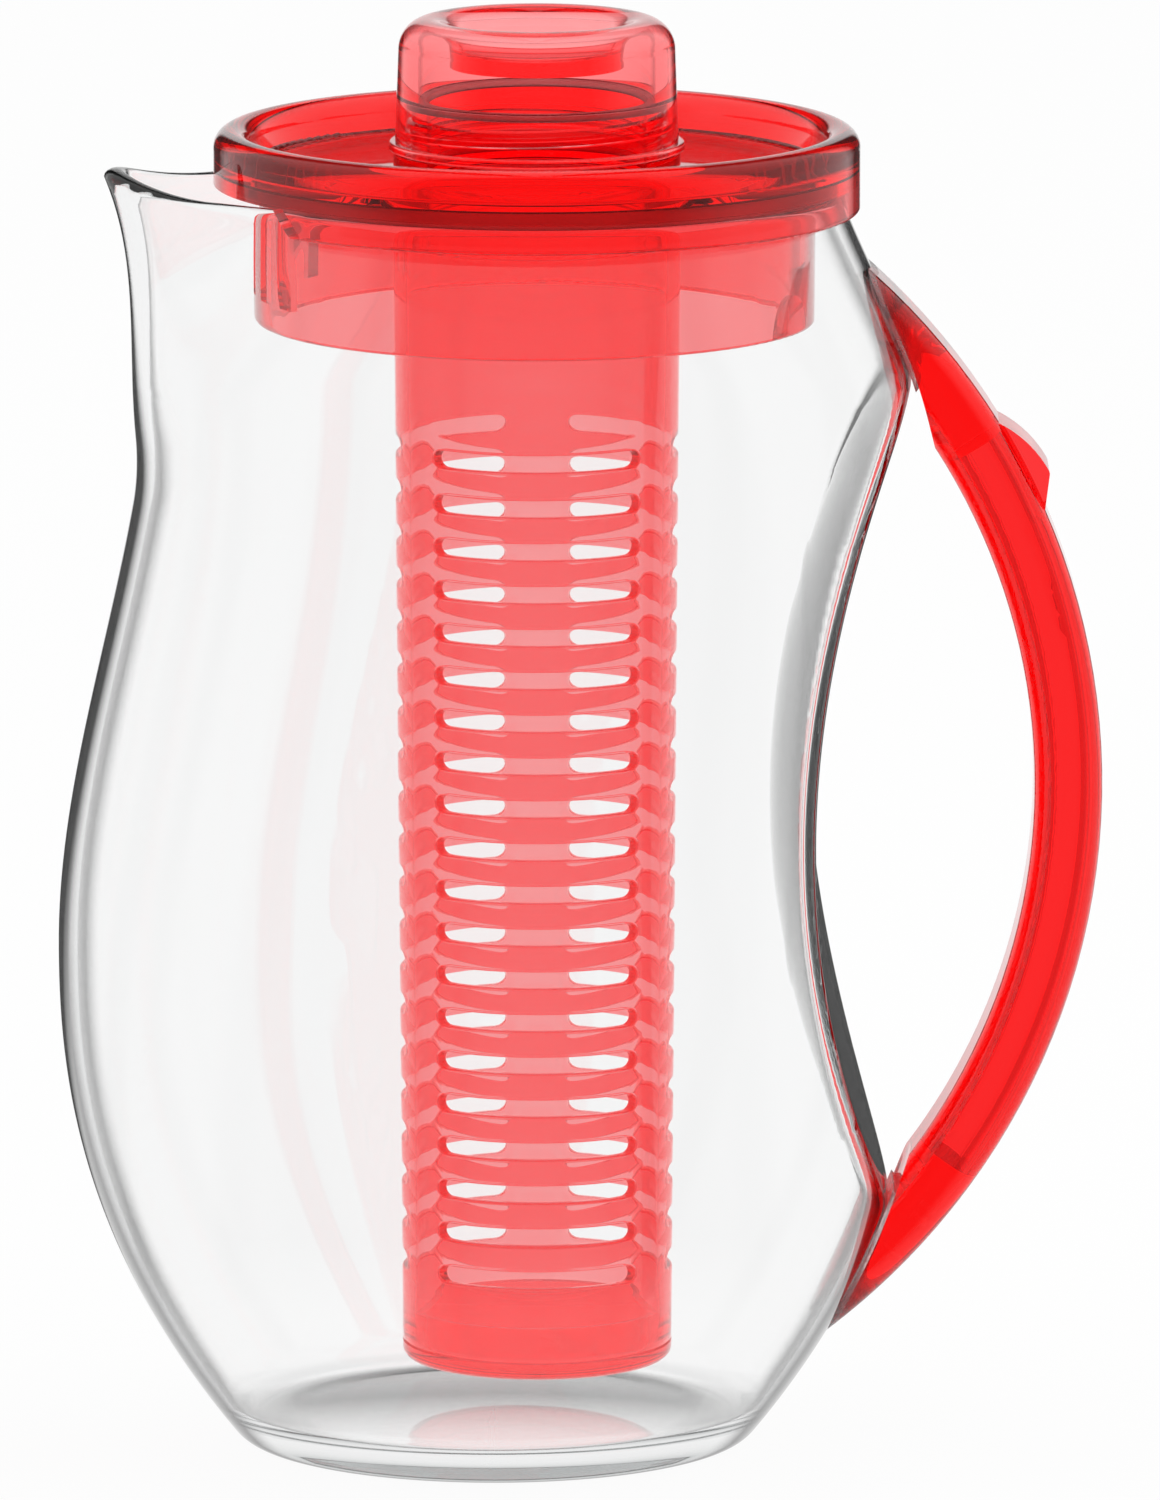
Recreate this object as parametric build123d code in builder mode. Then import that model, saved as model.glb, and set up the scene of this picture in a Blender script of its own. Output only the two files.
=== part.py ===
from build123d import *
import os
from math import cos, radians, sin, sqrt

os.makedirs("parts", exist_ok=True)

# Fruit infuser pitcher: a clear moulded jug with a red bow handle, a red lid that drops into the
# mouth, a hollow knob screwed on the lid's neck, and a slotted fruit tube screwed under the lid.
# Millimetres, +Z up. The origin is on the table at the middle of the base. The spout points to -X and
# the handle to +X. Mouth, lid, knob and fruit tube share one upright axis, mouth_offset nearer the handle.

# Jug: outer radii and heights of the moulding, its wall and its floor
base_radius = 45.0
belly_radius = 77.3
belly_height = 89.0
heel_power = 2.3
shoulder_radius = 69.5
shoulder_height = 180.0
shoulder_slope = -0.12
rim_radius = 53.0
rim_height = 224.0
rim_slope = -0.35
wall = 3.2
floor_thickness = 5.0
floor_dome = 2.5
floor_dome_radius = 37.0
mouth_offset = 7.5

# Spout: a V drawn out of the shoulder on the side away from the handle
spout_reach = 77.3
spout_root_height = 168.0
spout_rise = 4.5
spout_half_angle = 40.0
spout_softness = 8.0
spout_curve = 1.8

# Finger recess: a barrel-shaped scoop across the handle side, measured in from the belly
recess_depth = 25.3
recess_height = 114.5
recess_bow_radius = 137.5
recess_crown_radius = 270.0
recess_lip_rounding = 3.0

# Handle: a bar of rounded section on one big bow, hollow, in two mouldings, bonded on two pads
handle_stand_off = 30.1
handle_bow_radius = 117.5
handle_bow_height = 118.0
handle_sweep = 60.0
handle_thickness = 12.0
handle_width = 22.0
handle_rounding = 5.0
handle_wall = 2.4
handle_core_top = 31.0
handle_core_bottom = -35.0
cover_depth = 2.9
bond_thickness = 0.8

# Thumb rest: a low ramp let into the back of the handle near its upper end
thumb_top_angle = 32.4
thumb_peak_angle = 26.2
thumb_bottom_angle = 22.8
thumb_rise = 3.6
thumb_pocket = 1.0
thumb_width = 14.0
thumb_rounding = 1.5
thumb_clearance = 0.05

# Lid: rolled rim, drop lip outside the mouth, plug skirt inside it, dished plate and two threaded spigots
lid_wall = 2.0
lid_rise = 9.5
lid_dish = 6.5
plate_thickness = 2.6
rim_roll_width = 6.6
dish_draft = 1.2
dish_corner = 1.2
lip_corner = 0.8
drop_lip = 5.0
drop_lip_clearance = 0.5
spout_gap_top = 67.0
spout_gap_bottom = 75.0
skirt_depth = 25.0
skirt_wall = 2.5
mouth_clearance = 0.9
gasket_height = 3.0
gasket_proud = 1.0
gasket_width = 3.2
gasket_groove_clearance = 0.1
strainer_slots = 6
strainer_slot_width = 4.0
strainer_slot_height = 16.0
strainer_slot_step = 11.0
strainer_slot_drop = 4.0
skirt_tab_width = 13.0
skirt_tab_height = 7.0
skirt_tab_relief = 0.8
skirt_tab_angle = -22.0

# Threads of the knob and of the fruit tube: one right-hand turn on each piece
thread_pitch = 3.5
thread_ridge = 0.85
thread_base = 1.6
thread_crest = 0.8
thread_clearance = 0.3
thread_root = 0.3
spigot_bore = 19.5
knob_thread_lift = 1.6
tube_thread_lift = 1.4

# Knob: a hollow cap with a thumb dish in its top and a bead round its foot
knob_radius = 25.0
knob_top_radius = 24.4
knob_height = 23.3
knob_wall = 1.7
knob_crown = 5.2
knob_bead = 1.1
knob_bead_height = 1.6
knob_gap = 0.3
knob_collar_radius = 25.3
knob_collar_height = 2.4
knob_land_width = 2.3
knob_roof = 2.4
dish_radius = 13.4
dish_depth = 6.6
dish_wall = 2.0
neck_height = 8.2
washer_thickness = 1.2

# Fruit tube and its base
tube_radius = 25.35
tube_foot_radius = 23.9
tube_wall = 2.2
tube_floor_gap = 7.5
spigot_length = 11.4
slot_rows = 20
slot_pitch = 7.64
slot_height = 3.0
slot_span = 35.5
slot_columns = 3
slot_top_drop = 46.2
tube_base_thickness = 3.0
tube_base_rounding = 2.0
tube_base_plug = 6.0
tube_base_clearance = 0.05

# Heights and radii that follow from the values above
recess_floor = belly_radius - recess_depth
handle_reach = belly_radius + handle_stand_off
spout_tip_height = rim_height + spout_rise
form_top = spout_tip_height + spout_rise
seat_height = rim_height + gasket_proud
plate_top = seat_height + lid_rise - lid_dish
plate_bottom = plate_top - plate_thickness
lid_top = seat_height + lid_rise
collar_top = plate_top + knob_collar_height
neck_top = collar_top + neck_height
tube_top = plate_bottom - washer_thickness
tube_base_bottom = floor_thickness + floor_dome + tube_floor_gap
tube_bottom = tube_base_bottom + tube_base_thickness
tube_bore = tube_radius - tube_wall
spigot_bottom = plate_bottom - spigot_length
spigot_radius = tube_bore - thread_ridge - thread_clearance
knob_bore = knob_radius - knob_wall
neck_radius = knob_bore - thread_ridge - thread_clearance
mouth_axis = Axis((mouth_offset, 0, 0), (0, 0, 1))
mouth_plane = Plane(origin=(mouth_offset, 0, 0), x_dir=(1, 0, 0), z_dir=(0, -1, 0))


def smooth_step(share):
    """Ease from 0 to 1 with level ends."""
    share = min(max(share, 0.0), 1.0)
    return share * share * (3 - 2 * share)


def eased_radius(height, low, high):
    """Radius between two (height, radius, slope) stations, on the cubic that meets both slopes."""
    span = high[0] - low[0]
    share = (height - low[0]) / span
    lead_in = share * (1 - share) ** 2 * span * low[2]
    lead_out = share * share * (share - 1) * span * high[2]
    return low[1] + (high[1] - low[1]) * smooth_step(share) + lead_in + lead_out


def jug_radius(height):
    """Outer radius of the jug at a height, without its spout."""
    belly = (belly_height, belly_radius, 0.0)
    shoulder = (shoulder_height, shoulder_radius, shoulder_slope)
    rim = (rim_height, rim_radius, rim_slope)
    if height <= belly_height:
        return belly_radius - (belly_radius - base_radius) * (1 - height / belly_height) ** heel_power
    if height <= shoulder_height:
        return eased_radius(height, belly, shoulder)
    if height <= rim_height:
        return eased_radius(height, shoulder, rim)
    return rim_radius + rim_slope * (height - rim_height)


def jug_axis(height):
    """How far the middle of the jug's section lies towards the handle at a height."""
    return mouth_offset * smooth_step((height - belly_height) / (shoulder_height - belly_height))


def spout_draw(height):
    """How far the spout's tip stands out from the round of the jug at a height."""
    share = max(height - spout_root_height, 0.0) / (spout_tip_height - spout_root_height)
    return (spout_reach - jug_radius(spout_tip_height)) * share**spout_curve


def soft_angle(degrees_off):
    """An angle either side of the spout in degrees, rounded off at the middle."""
    return sqrt(degrees_off**2 + spout_softness**2) - spout_softness


def jug_section(height, inset):
    """Points round the jug at a height, moved in by inset, and further in at the spout's tip."""
    steps = 60
    flank_run = spout_reach - rim_radius * cos(radians(spout_half_angle))
    flank_width = rim_radius * sin(radians(spout_half_angle))
    tip_inset = inset * sqrt(flank_run**2 + flank_width**2) / flank_width
    draw = spout_draw(height)
    tip_draw = draw - (tip_inset - inset) * min(draw / flank_run, 1.0)
    points = []
    for step in range(steps):
        turn = 360 * step / steps
        share = soft_angle(turn - 180) / soft_angle(spout_half_angle)
        reach = jug_radius(height) - inset + tip_draw * max(1 - share, 0.0) ** 2
        points.append((jug_axis(height) + reach * cos(radians(turn)), reach * sin(radians(turn))))
    return points


def jug_form(inset, bottom, top):
    """The jug's solid form, moved in by inset, from one height to another above its rim."""
    heel_shares = (0, 0.1, 0.22, 0.36, 0.52, 0.68, 0.84)
    side_shares = (0, 0.16, 0.32, 0.5, 0.68, 0.84)
    neck_shares = (0, 0.25, 0.5, 0.75, 1)
    heel = [bottom + (belly_height - bottom) * share for share in heel_shares]
    side = [belly_height + (shoulder_height - belly_height) * share for share in side_shares]
    neck = [shoulder_height + (rim_height - shoulder_height) * share for share in neck_shares]
    with BuildPart() as form:
        for height in heel + side + neck + [top]:
            with BuildSketch(Plane.XY.offset(height)):
                with BuildLine():
                    Spline(*jug_section(height, inset), periodic=True)
                make_face()
        loft()
    return form.part


def recess_barrel(growth):
    """The barrel that scoops out the finger recess, grown on its surface by growth."""
    floor = recess_floor - growth
    axis_x = recess_floor + recess_bow_radius
    half_width = belly_radius + wall
    edge = floor + half_width**2 / (2 * recess_crown_radius)
    with BuildPart() as barrel:
        with BuildSketch(Plane.XY.offset(recess_height)):
            with BuildLine():
                ThreePointArc((edge, -half_width), (floor, 0), (edge, half_width))
                Polyline(
                    (edge, half_width), (axis_x, half_width), (axis_x, -half_width), (edge, -half_width)
                )
            make_face()
        revolve(axis=Axis((axis_x, 0, recess_height), (0, 1, 0)))
    return barrel.part


def dome(radius, height, rise):
    """A low dome on the jug's axis, standing on a height."""
    with BuildPart() as cap:
        with BuildSketch(Plane.XZ):
            with BuildLine():
                ThreePointArc((-radius, height), (0, height + rise), (radius, height))
                Line((radius, height), (-radius, height))
            make_face()
            split(bisect_by=Plane.YZ)
        revolve(axis=Axis.Z)
    return cap.part


# The lid's drop lip clears the jug's outside at the lip's lowest edge
lip_bottom = seat_height - drop_lip
drop_lip_inner = jug_radius(lip_bottom) + drop_lip_clearance
lid_radius = drop_lip_inner + lid_wall

# Jug: one clear moulding with the spout, the finger recess and a domed floor
jug_outside = jug_form(0, 0, form_top)
cavity_form = jug_form(wall, floor_thickness, form_top + wall)
barrel_outside = recess_barrel(0)
barrel_inside = recess_barrel(wall)
floor_rise = dome(floor_dome_radius, floor_thickness, floor_dome)
spout_tip_x = mouth_offset - spout_reach
spout_rise_x = mouth_offset - lid_radius

with BuildPart() as jug_cavity:
    add(cavity_form)
    add(barrel_inside, mode=Mode.SUBTRACT)

with BuildPart() as jug:
    add(jug_outside)
    add(barrel_outside, mode=Mode.SUBTRACT)
    add(jug_cavity.part, mode=Mode.SUBTRACT)
    # Rim: level round the mouth, sweeping up to the spout's tip
    with BuildSketch(Plane.XZ):
        with BuildLine():
            TangentArc((spout_rise_x, rim_height), (spout_tip_x, spout_tip_height), tangent=(-1, 0))
            Polyline(
                (spout_tip_x, spout_tip_height),
                (-2 * belly_radius, spout_tip_height),
                (-2 * belly_radius, 2 * form_top),
                (2 * belly_radius, 2 * form_top),
                (2 * belly_radius, rim_height),
                (spout_rise_x, rim_height),
            )
        make_face()
    extrude(amount=2 * belly_radius, both=True, mode=Mode.SUBTRACT)
    # Floor: a low dome inside, flat underneath
    add(floor_rise)
    recess_face = jug.faces().sort_by_distance((recess_floor, 0, recess_height))[0]
    fillet(recess_face.edges(), recess_lip_rounding)
jug.part.label = "jug"
export_step(jug.part, "parts/jug.step")


# Handle: the bar before it is parted into an outer shell and a finger-side cover
bow_x = handle_reach - handle_thickness / 2 - handle_bow_radius
bow_axis = Axis((bow_x, 0, handle_bow_height), (0, -1, 0))
handle_back = handle_bow_radius + handle_thickness / 2
parting_radius = handle_bow_radius - handle_thickness / 2 + cover_depth


def bow_point(radius, angle):
    """A point in the plane of the handle, by its distance and angle from the middle of the bow."""
    return (bow_x + radius * cos(radians(angle)), handle_bow_height + radius * sin(radians(angle)))


def handle_bar(inset, low_angle, high_angle):
    """A length of the handle's bow, with its section moved in by inset."""
    low = radians(low_angle)
    start = Plane(
        origin=(bow_x, 0, handle_bow_height), x_dir=(cos(low), 0, sin(low)), z_dir=(-sin(low), 0, cos(low))
    )
    with BuildPart() as bar:
        with BuildSketch(start):
            with Locations((handle_bow_radius, 0)):
                RectangleRounded(
                    handle_thickness - 2 * inset, handle_width - 2 * inset, handle_rounding - inset
                )
        revolve(axis=bow_axis, revolution_arc=high_angle - low_angle)
    return bar.part


def thumb_ramp(clearance):
    """The thumb rest's solid, grown all round by a clearance."""
    seat_radius = handle_back - thumb_pocket
    foot = bow_point(seat_radius, thumb_bottom_angle)
    head = bow_point(seat_radius, thumb_top_angle)
    peak = bow_point(handle_back + thumb_rise, thumb_peak_angle)
    brow = bow_point(handle_back + thumb_rise * 2 / 3, (thumb_peak_angle + thumb_top_angle) / 2)
    with BuildPart() as ramp:
        with BuildSketch(Plane.XZ) as side:
            with BuildLine():
                ThreePointArc(foot, bow_point(seat_radius, thumb_peak_angle), head)
                ThreePointArc(head, brow, peak)
                Line(peak, foot)
            make_face()
            fillet(side.vertices().sort_by_distance(peak)[0], thumb_rounding)
            if clearance:
                offset(amount=clearance, mode=Mode.REPLACE)
        extrude(amount=thumb_width / 2 + clearance, both=True)
    return ramp.part


bar = handle_bar(0, -handle_sweep, handle_sweep)
handle_core = handle_bar(handle_wall, handle_core_bottom, handle_core_top)
bond_envelope = jug_form(-bond_thickness, 0, form_top)
thumb_pocket_form = thumb_ramp(thumb_clearance)
bow_location = Location((bow_x, 0, handle_bow_height), (90, 0, 0))

# Bond pads: clear layers that fill the joint between the handle's two ends and the jug
with BuildPart() as bond_pads:
    add(bar)
    add(bond_envelope, mode=Mode.INTERSECT)
    add(jug_outside, mode=Mode.SUBTRACT)
    add(barrel_outside, mode=Mode.SUBTRACT)

with BuildPart() as upper_handle_pad:
    add(bond_pads.part.solids().sort_by(Axis.Z)[-1])
upper_handle_pad.part.label = "upper_handle_pad"
export_step(upper_handle_pad.part, "parts/upper_handle_pad.step")

with BuildPart() as lower_handle_pad:
    add(bond_pads.part.solids().sort_by(Axis.Z)[0])
lower_handle_pad.part.label = "lower_handle_pad"
export_step(lower_handle_pad.part, "parts/lower_handle_pad.step")

# Handle shell: the outer moulding, a channel whose two solid ends meet the pads
with BuildPart() as handle_shell:
    add(bar)
    add(bond_envelope, mode=Mode.SUBTRACT)
    with Locations(bow_location):
        Cylinder(parting_radius, 2 * handle_width, mode=Mode.SUBTRACT)
    add(handle_core, mode=Mode.SUBTRACT)
    add(thumb_pocket_form, mode=Mode.SUBTRACT)
handle_shell.part.label = "handle_shell"
export_step(handle_shell.part, "parts/handle_shell.step")

# Handle cover: the strip on the finger side that closes the channel
with BuildPart() as handle_cover:
    add(bar)
    with Locations(bow_location):
        Cylinder(parting_radius, 2 * handle_width, mode=Mode.INTERSECT)
    add(bond_envelope, mode=Mode.SUBTRACT)
    add(handle_core, mode=Mode.SUBTRACT)
handle_cover.part.label = "handle_cover"
export_step(handle_cover.part, "parts/handle_cover.step")

# Thumb rest: the ramp, seated in its pocket in the shell
thumb_form = thumb_ramp(0)
with BuildPart() as thumb_rest:
    add(thumb_form)
thumb_rest.part.label = "thumb_rest"
export_step(thumb_rest.part, "parts/thumb_rest.step")


def thread(root_radius, height, outward):
    """One turn of thread ridge on the mouth's axis from a height up, standing out or in from a wall."""
    foot = -outward * thread_root
    crest = outward * thread_ridge
    with BuildPart() as ridge:
        with BuildLine() as path:
            Helix(thread_pitch, thread_pitch, root_radius, center=(mouth_offset, 0, height))
        with BuildSketch(Plane(origin=path.line @ 0, x_dir=(1, 0, 0), z_dir=path.line % 0)):
            with BuildLine():
                Polyline(
                    (foot, -thread_base / 2),
                    (crest, -thread_crest / 2),
                    (crest, thread_crest / 2),
                    (foot, thread_base / 2),
                    close=True,
                )
            make_face()
        sweep(path=path.wires()[0], is_frenet=True)
    return ridge.part


# Lid: one turned profile, opened at the spout, with strainer slots in the skirt and two threads
skirt_radius = rim_radius - wall - mouth_clearance
skirt_inner = skirt_radius - skirt_wall
skirt_bottom = seat_height - skirt_depth
gasket_middle = rim_radius - wall / 2
groove_half = gasket_width / 2 + gasket_groove_clearance
groove_top = rim_height + gasket_height
roll_radius = rim_roll_width / 2
roll_height = lid_top - roll_radius
plate_radius = lid_radius - rim_roll_width - dish_draft
strainer_spread = strainer_slot_step * (strainer_slots - 1)
strainer_height = seat_height - strainer_slot_drop - strainer_slot_height / 2
knob_thread_height = collar_top + knob_thread_lift
tube_thread_height = spigot_bottom + tube_thread_lift
neck_thread = thread(neck_radius, knob_thread_height + thread_pitch / 2, 1)
spigot_thread = thread(spigot_radius, tube_thread_height, 1)

tab_angle = radians(skirt_tab_angle)
tab_reach = skirt_inner + skirt_wall / 2
tab_plane = Plane(
    origin=(mouth_offset + tab_reach * cos(tab_angle), tab_reach * sin(tab_angle), skirt_bottom),
    x_dir=(sin(tab_angle), -cos(tab_angle), 0),
    z_dir=(-cos(tab_angle), -sin(tab_angle), 0),
)

with BuildPart() as spout_gap:
    with BuildSketch(Plane(origin=(mouth_offset, 0, 0), x_dir=(0, -1, 0), z_dir=(-1, 0, 0))):
        with BuildLine():
            Polyline(
                (-spout_gap_top / 2, seat_height),
                (spout_gap_top / 2, seat_height),
                (spout_gap_bottom / 2, lip_bottom),
                (-spout_gap_bottom / 2, lip_bottom),
                close=True,
            )
        make_face()
    extrude(amount=2 * lid_radius)
    with Locations((mouth_offset, 0, lip_bottom)):
        Cylinder(drop_lip_inner - drop_lip_clearance, 4 * drop_lip, mode=Mode.SUBTRACT)

with BuildPart() as lid:
    with BuildSketch(mouth_plane) as lid_half:
        with BuildLine():
            Polyline(
                (lid_radius - rim_roll_width, roll_height),
                (plate_radius, plate_top),
                (knob_collar_radius, plate_top),
                (knob_collar_radius, collar_top),
                (neck_radius, collar_top),
                (neck_radius, neck_top),
                (spigot_bore, neck_top),
                (spigot_bore, spigot_bottom),
                (spigot_radius, spigot_bottom),
                (spigot_radius, plate_bottom),
                (skirt_inner, plate_bottom),
                (skirt_inner, skirt_bottom),
                (skirt_radius, skirt_bottom),
                (skirt_radius, seat_height),
                (gasket_middle - groove_half, seat_height),
                (gasket_middle - groove_half, groove_top),
                (gasket_middle + groove_half, groove_top),
                (gasket_middle + groove_half, seat_height),
                (drop_lip_inner, seat_height),
                (drop_lip_inner, lip_bottom),
                (lid_radius, lip_bottom),
                (lid_radius, roll_height),
            )
            ThreePointArc(
                (lid_radius, roll_height),
                (lid_radius - roll_radius, lid_top),
                (lid_radius - rim_roll_width, roll_height),
            )
        make_face()
        fillet(lid_half.vertices().sort_by_distance((plate_radius, plate_top))[0], dish_corner)
        fillet(lid_half.vertices().sort_by_distance((lid_radius, lip_bottom))[0], lip_corner)
        fillet(lid_half.vertices().sort_by_distance((skirt_radius, skirt_bottom))[0], lip_corner)
    revolve(axis=mouth_axis)
    add(spout_gap.part, mode=Mode.SUBTRACT)
    with Locations((mouth_offset, 0, strainer_height)):
        with PolarLocations(
            skirt_radius, strainer_slots, 180 - strainer_spread / 2, strainer_spread, endpoint=True
        ):
            Box(3 * skirt_wall, strainer_slot_width, strainer_slot_height, mode=Mode.SUBTRACT)
    add(neck_thread)
    add(spigot_thread)
    # A small arched tab thickens the skirt's lower edge near the handle
    with BuildSketch(tab_plane):
        with BuildLine():
            ThreePointArc((-skirt_tab_width / 2, 0), (0, skirt_tab_height), (skirt_tab_width / 2, 0))
            Line((skirt_tab_width / 2, 0), (-skirt_tab_width / 2, 0))
        make_face()
    extrude(amount=skirt_wall / 2 + skirt_tab_relief)
lid.part.label = "lid"
export_step(lid.part, "parts/lid.step")

# Lid gasket: a clear soft ring in the lid's groove, resting on the jug's rim
with BuildPart() as lid_gasket:
    with BuildSketch(mouth_plane):
        with Locations((gasket_middle, rim_height + gasket_height / 2)):
            Rectangle(gasket_width, gasket_height)
    revolve(axis=mouth_axis)
lid_gasket.part.label = "lid_gasket"
export_step(lid_gasket.part, "parts/lid_gasket.step")

# Knob: a hollow cap, its crown rolled over into the thumb dish, with the mating thread inside
knob_bottom = collar_top + knob_gap
knob_top = knob_bottom + knob_height
bead_top = knob_bottom + knob_bead_height
land_height = neck_top + washer_thickness
crown_height = knob_top - knob_crown
crown_middle = (knob_top_radius + dish_radius) / 2
dish_floor = knob_top - dish_depth
hollow_inner = dish_radius + dish_wall
hollow_outer = knob_bore - knob_land_width
knob_thread = thread(knob_bore, knob_thread_height, -1)

with BuildPart() as knob:
    with BuildSketch(mouth_plane) as knob_half:
        with BuildLine():
            Polyline(
                (knob_bore, knob_bottom),
                (knob_radius + knob_bead, knob_bottom),
                (knob_radius + knob_bead, bead_top),
                (knob_radius, bead_top),
                (knob_top_radius, crown_height),
            )
            ThreePointArc(
                (knob_top_radius, crown_height), (crown_middle, knob_top), (dish_radius, crown_height)
            )
            Polyline(
                (dish_radius, crown_height),
                (dish_radius, dish_floor),
                (0, dish_floor),
                (0, dish_floor - dish_wall),
                (hollow_inner, dish_floor - dish_wall),
                (hollow_inner, crown_height),
            )
            ThreePointArc(
                (hollow_inner, crown_height),
                ((hollow_inner + hollow_outer) / 2, knob_top - knob_roof),
                (hollow_outer, crown_height),
            )
            Polyline(
                (hollow_outer, crown_height),
                (hollow_outer, land_height),
                (knob_bore, land_height),
                (knob_bore, knob_bottom),
            )
        make_face()
        for corner in ((knob_radius + knob_bead, knob_bottom), (knob_radius + knob_bead, bead_top)):
            fillet(knob_half.vertices().sort_by_distance(corner)[0], knob_bead_height / 3)
        fillet(knob_half.vertices().sort_by_distance((dish_radius, dish_floor))[0], dish_corner)
    revolve(axis=mouth_axis)
    add(knob_thread)
knob.part.label = "knob"
export_step(knob.part, "parts/knob.step")

# Knob washer: a clear soft ring pinched between the knob's inner land and the top of the lid's neck
with BuildPart() as knob_washer:
    with BuildSketch(mouth_plane):
        with BuildLine():
            Polyline(
                (spigot_bore, neck_top),
                (knob_bore - thread_clearance, neck_top),
                (knob_bore - thread_clearance, land_height),
                (spigot_bore, land_height),
                close=True,
            )
        make_face()
    revolve(axis=mouth_axis)
knob_washer.part.label = "knob_washer"
export_step(knob_washer.part, "parts/knob_washer.step")

# Fruit tube: a tapered tube with columns of level slots and a thread inside its top
slot_middle = tube_top - slot_top_drop - slot_pitch * (slot_rows - 1) / 2
tube_thread = thread(tube_bore, tube_thread_height + thread_pitch / 2, -1)

with BuildPart() as slot_column:
    with BuildSketch(Plane.XZ):
        with Locations((0, slot_middle)):
            with GridLocations(slot_span, slot_pitch, 1, slot_rows):
                SlotOverall(slot_span, slot_height)
    extrude(amount=2 * tube_radius)

with BuildPart() as infuser_tube:
    with BuildSketch(mouth_plane):
        with BuildLine():
            Polyline(
                (tube_bore, tube_top),
                (tube_radius, tube_top),
                (tube_foot_radius, tube_bottom),
                (tube_foot_radius - tube_wall, tube_bottom),
                close=True,
            )
        make_face()
    revolve(axis=mouth_axis)
    with Locations((mouth_offset, 0, 0)):
        with PolarLocations(0, slot_columns):
            add(slot_column.part, mode=Mode.SUBTRACT)
    add(tube_thread)
infuser_tube.part.label = "infuser_tube"
export_step(infuser_tube.part, "parts/infuser_tube.step")

# Tube washer: a clear soft ring pinched between the tube's top and the underside of the lid
with BuildPart() as infuser_washer:
    with BuildSketch(mouth_plane):
        with BuildLine():
            Polyline(
                (tube_bore, tube_top),
                (tube_radius, tube_top),
                (tube_radius, plate_bottom),
                (tube_bore, plate_bottom),
                close=True,
            )
        make_face()
    revolve(axis=mouth_axis)
infuser_washer.part.label = "infuser_washer"
export_step(infuser_washer.part, "parts/infuser_washer.step")

# Tube base: a rounded disc with a plug wall bonded inside the tube's foot
plug_radius = tube_foot_radius - tube_wall - tube_base_clearance
plug_top = tube_bottom + tube_base_plug
with BuildPart() as infuser_base:
    with BuildSketch(mouth_plane) as base_half:
        with BuildLine():
            Polyline(
                (0, tube_base_bottom),
                (tube_foot_radius, tube_base_bottom),
                (tube_foot_radius, tube_bottom),
                (plug_radius, tube_bottom),
                (plug_radius, plug_top),
                (plug_radius - tube_wall, plug_top),
                (plug_radius - tube_wall, tube_bottom),
                (0, tube_bottom),
                close=True,
            )
        make_face()
        base_corner = base_half.vertices().sort_by_distance((tube_foot_radius, tube_base_bottom))[0]
        fillet(base_corner, tube_base_rounding)
    revolve(axis=mouth_axis)
infuser_base.part.label = "infuser_base"
export_step(infuser_base.part, "parts/infuser_base.step")
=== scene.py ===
from math import asin, atan2, ceil, cos, degrees, hypot, pi, radians, sin, sqrt

import bmesh
import bpy
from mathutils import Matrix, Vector


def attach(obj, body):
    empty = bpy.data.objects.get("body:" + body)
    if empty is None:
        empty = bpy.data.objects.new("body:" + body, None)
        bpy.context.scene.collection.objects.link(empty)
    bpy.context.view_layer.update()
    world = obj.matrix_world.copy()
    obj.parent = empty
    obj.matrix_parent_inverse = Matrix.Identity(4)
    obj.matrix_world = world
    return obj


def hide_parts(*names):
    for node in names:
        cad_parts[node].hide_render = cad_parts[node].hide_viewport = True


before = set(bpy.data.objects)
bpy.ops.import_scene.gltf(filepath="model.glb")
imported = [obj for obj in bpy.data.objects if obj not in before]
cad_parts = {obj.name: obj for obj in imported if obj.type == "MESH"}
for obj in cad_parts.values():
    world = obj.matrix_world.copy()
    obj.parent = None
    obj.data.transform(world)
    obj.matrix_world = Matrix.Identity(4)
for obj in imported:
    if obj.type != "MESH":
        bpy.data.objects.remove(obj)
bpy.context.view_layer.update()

# The jug is one clear acrylic moulding with a pointed spout, a scoop for the fingers and a thick floor.
# Its wall is even and polished on both faces, its rim is rounded, and it stands on a flat base.
mm = 0.001
base_radius = 45.0
belly_radius = 77.3
belly_height = 89.0
heel_power = 2.3
shoulder_radius = 69.5
shoulder_height = 180.0
shoulder_slope = -0.12
rim_radius = 53.0
rim_height = 224.0
rim_slope = -0.35
wall = 3.2
floor_thickness = 5.0
floor_dome = 2.5
floor_dome_radius = 37.0
mouth_offset = 7.5
spout_reach = 77.3
spout_root_height = 168.0
spout_rise = 4.5
spout_half_angle = 40.0
spout_softness = 8.0
spout_curve = 1.8
spout_rise_x = -49.5
recess_floor = 52.0
recess_height = 114.5
recess_bow_radius = 137.5
recess_crown_radius = 270.0
recess_lip = 4.5
recess_inner_lip = 2.5
rim_rounding = 1.5
heel_rounding = 2.2
floor_corner = 4.0
spout_tip_height = rim_height + spout_rise


def smooth_share(share):
    """Ease from 0 to 1 with level ends."""
    share = min(max(share, 0.0), 1.0)
    return share * share * (3 - 2 * share)


def eased_radius(height, low, high):
    """Radius between two (height, radius, slope) stations, on the cubic that meets both slopes."""
    span = high[0] - low[0]
    share = (height - low[0]) / span
    lead_in = share * (1 - share) ** 2 * span * low[2]
    lead_out = share * share * (share - 1) * span * high[2]
    return low[1] + (high[1] - low[1]) * smooth_share(share) + lead_in + lead_out


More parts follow.
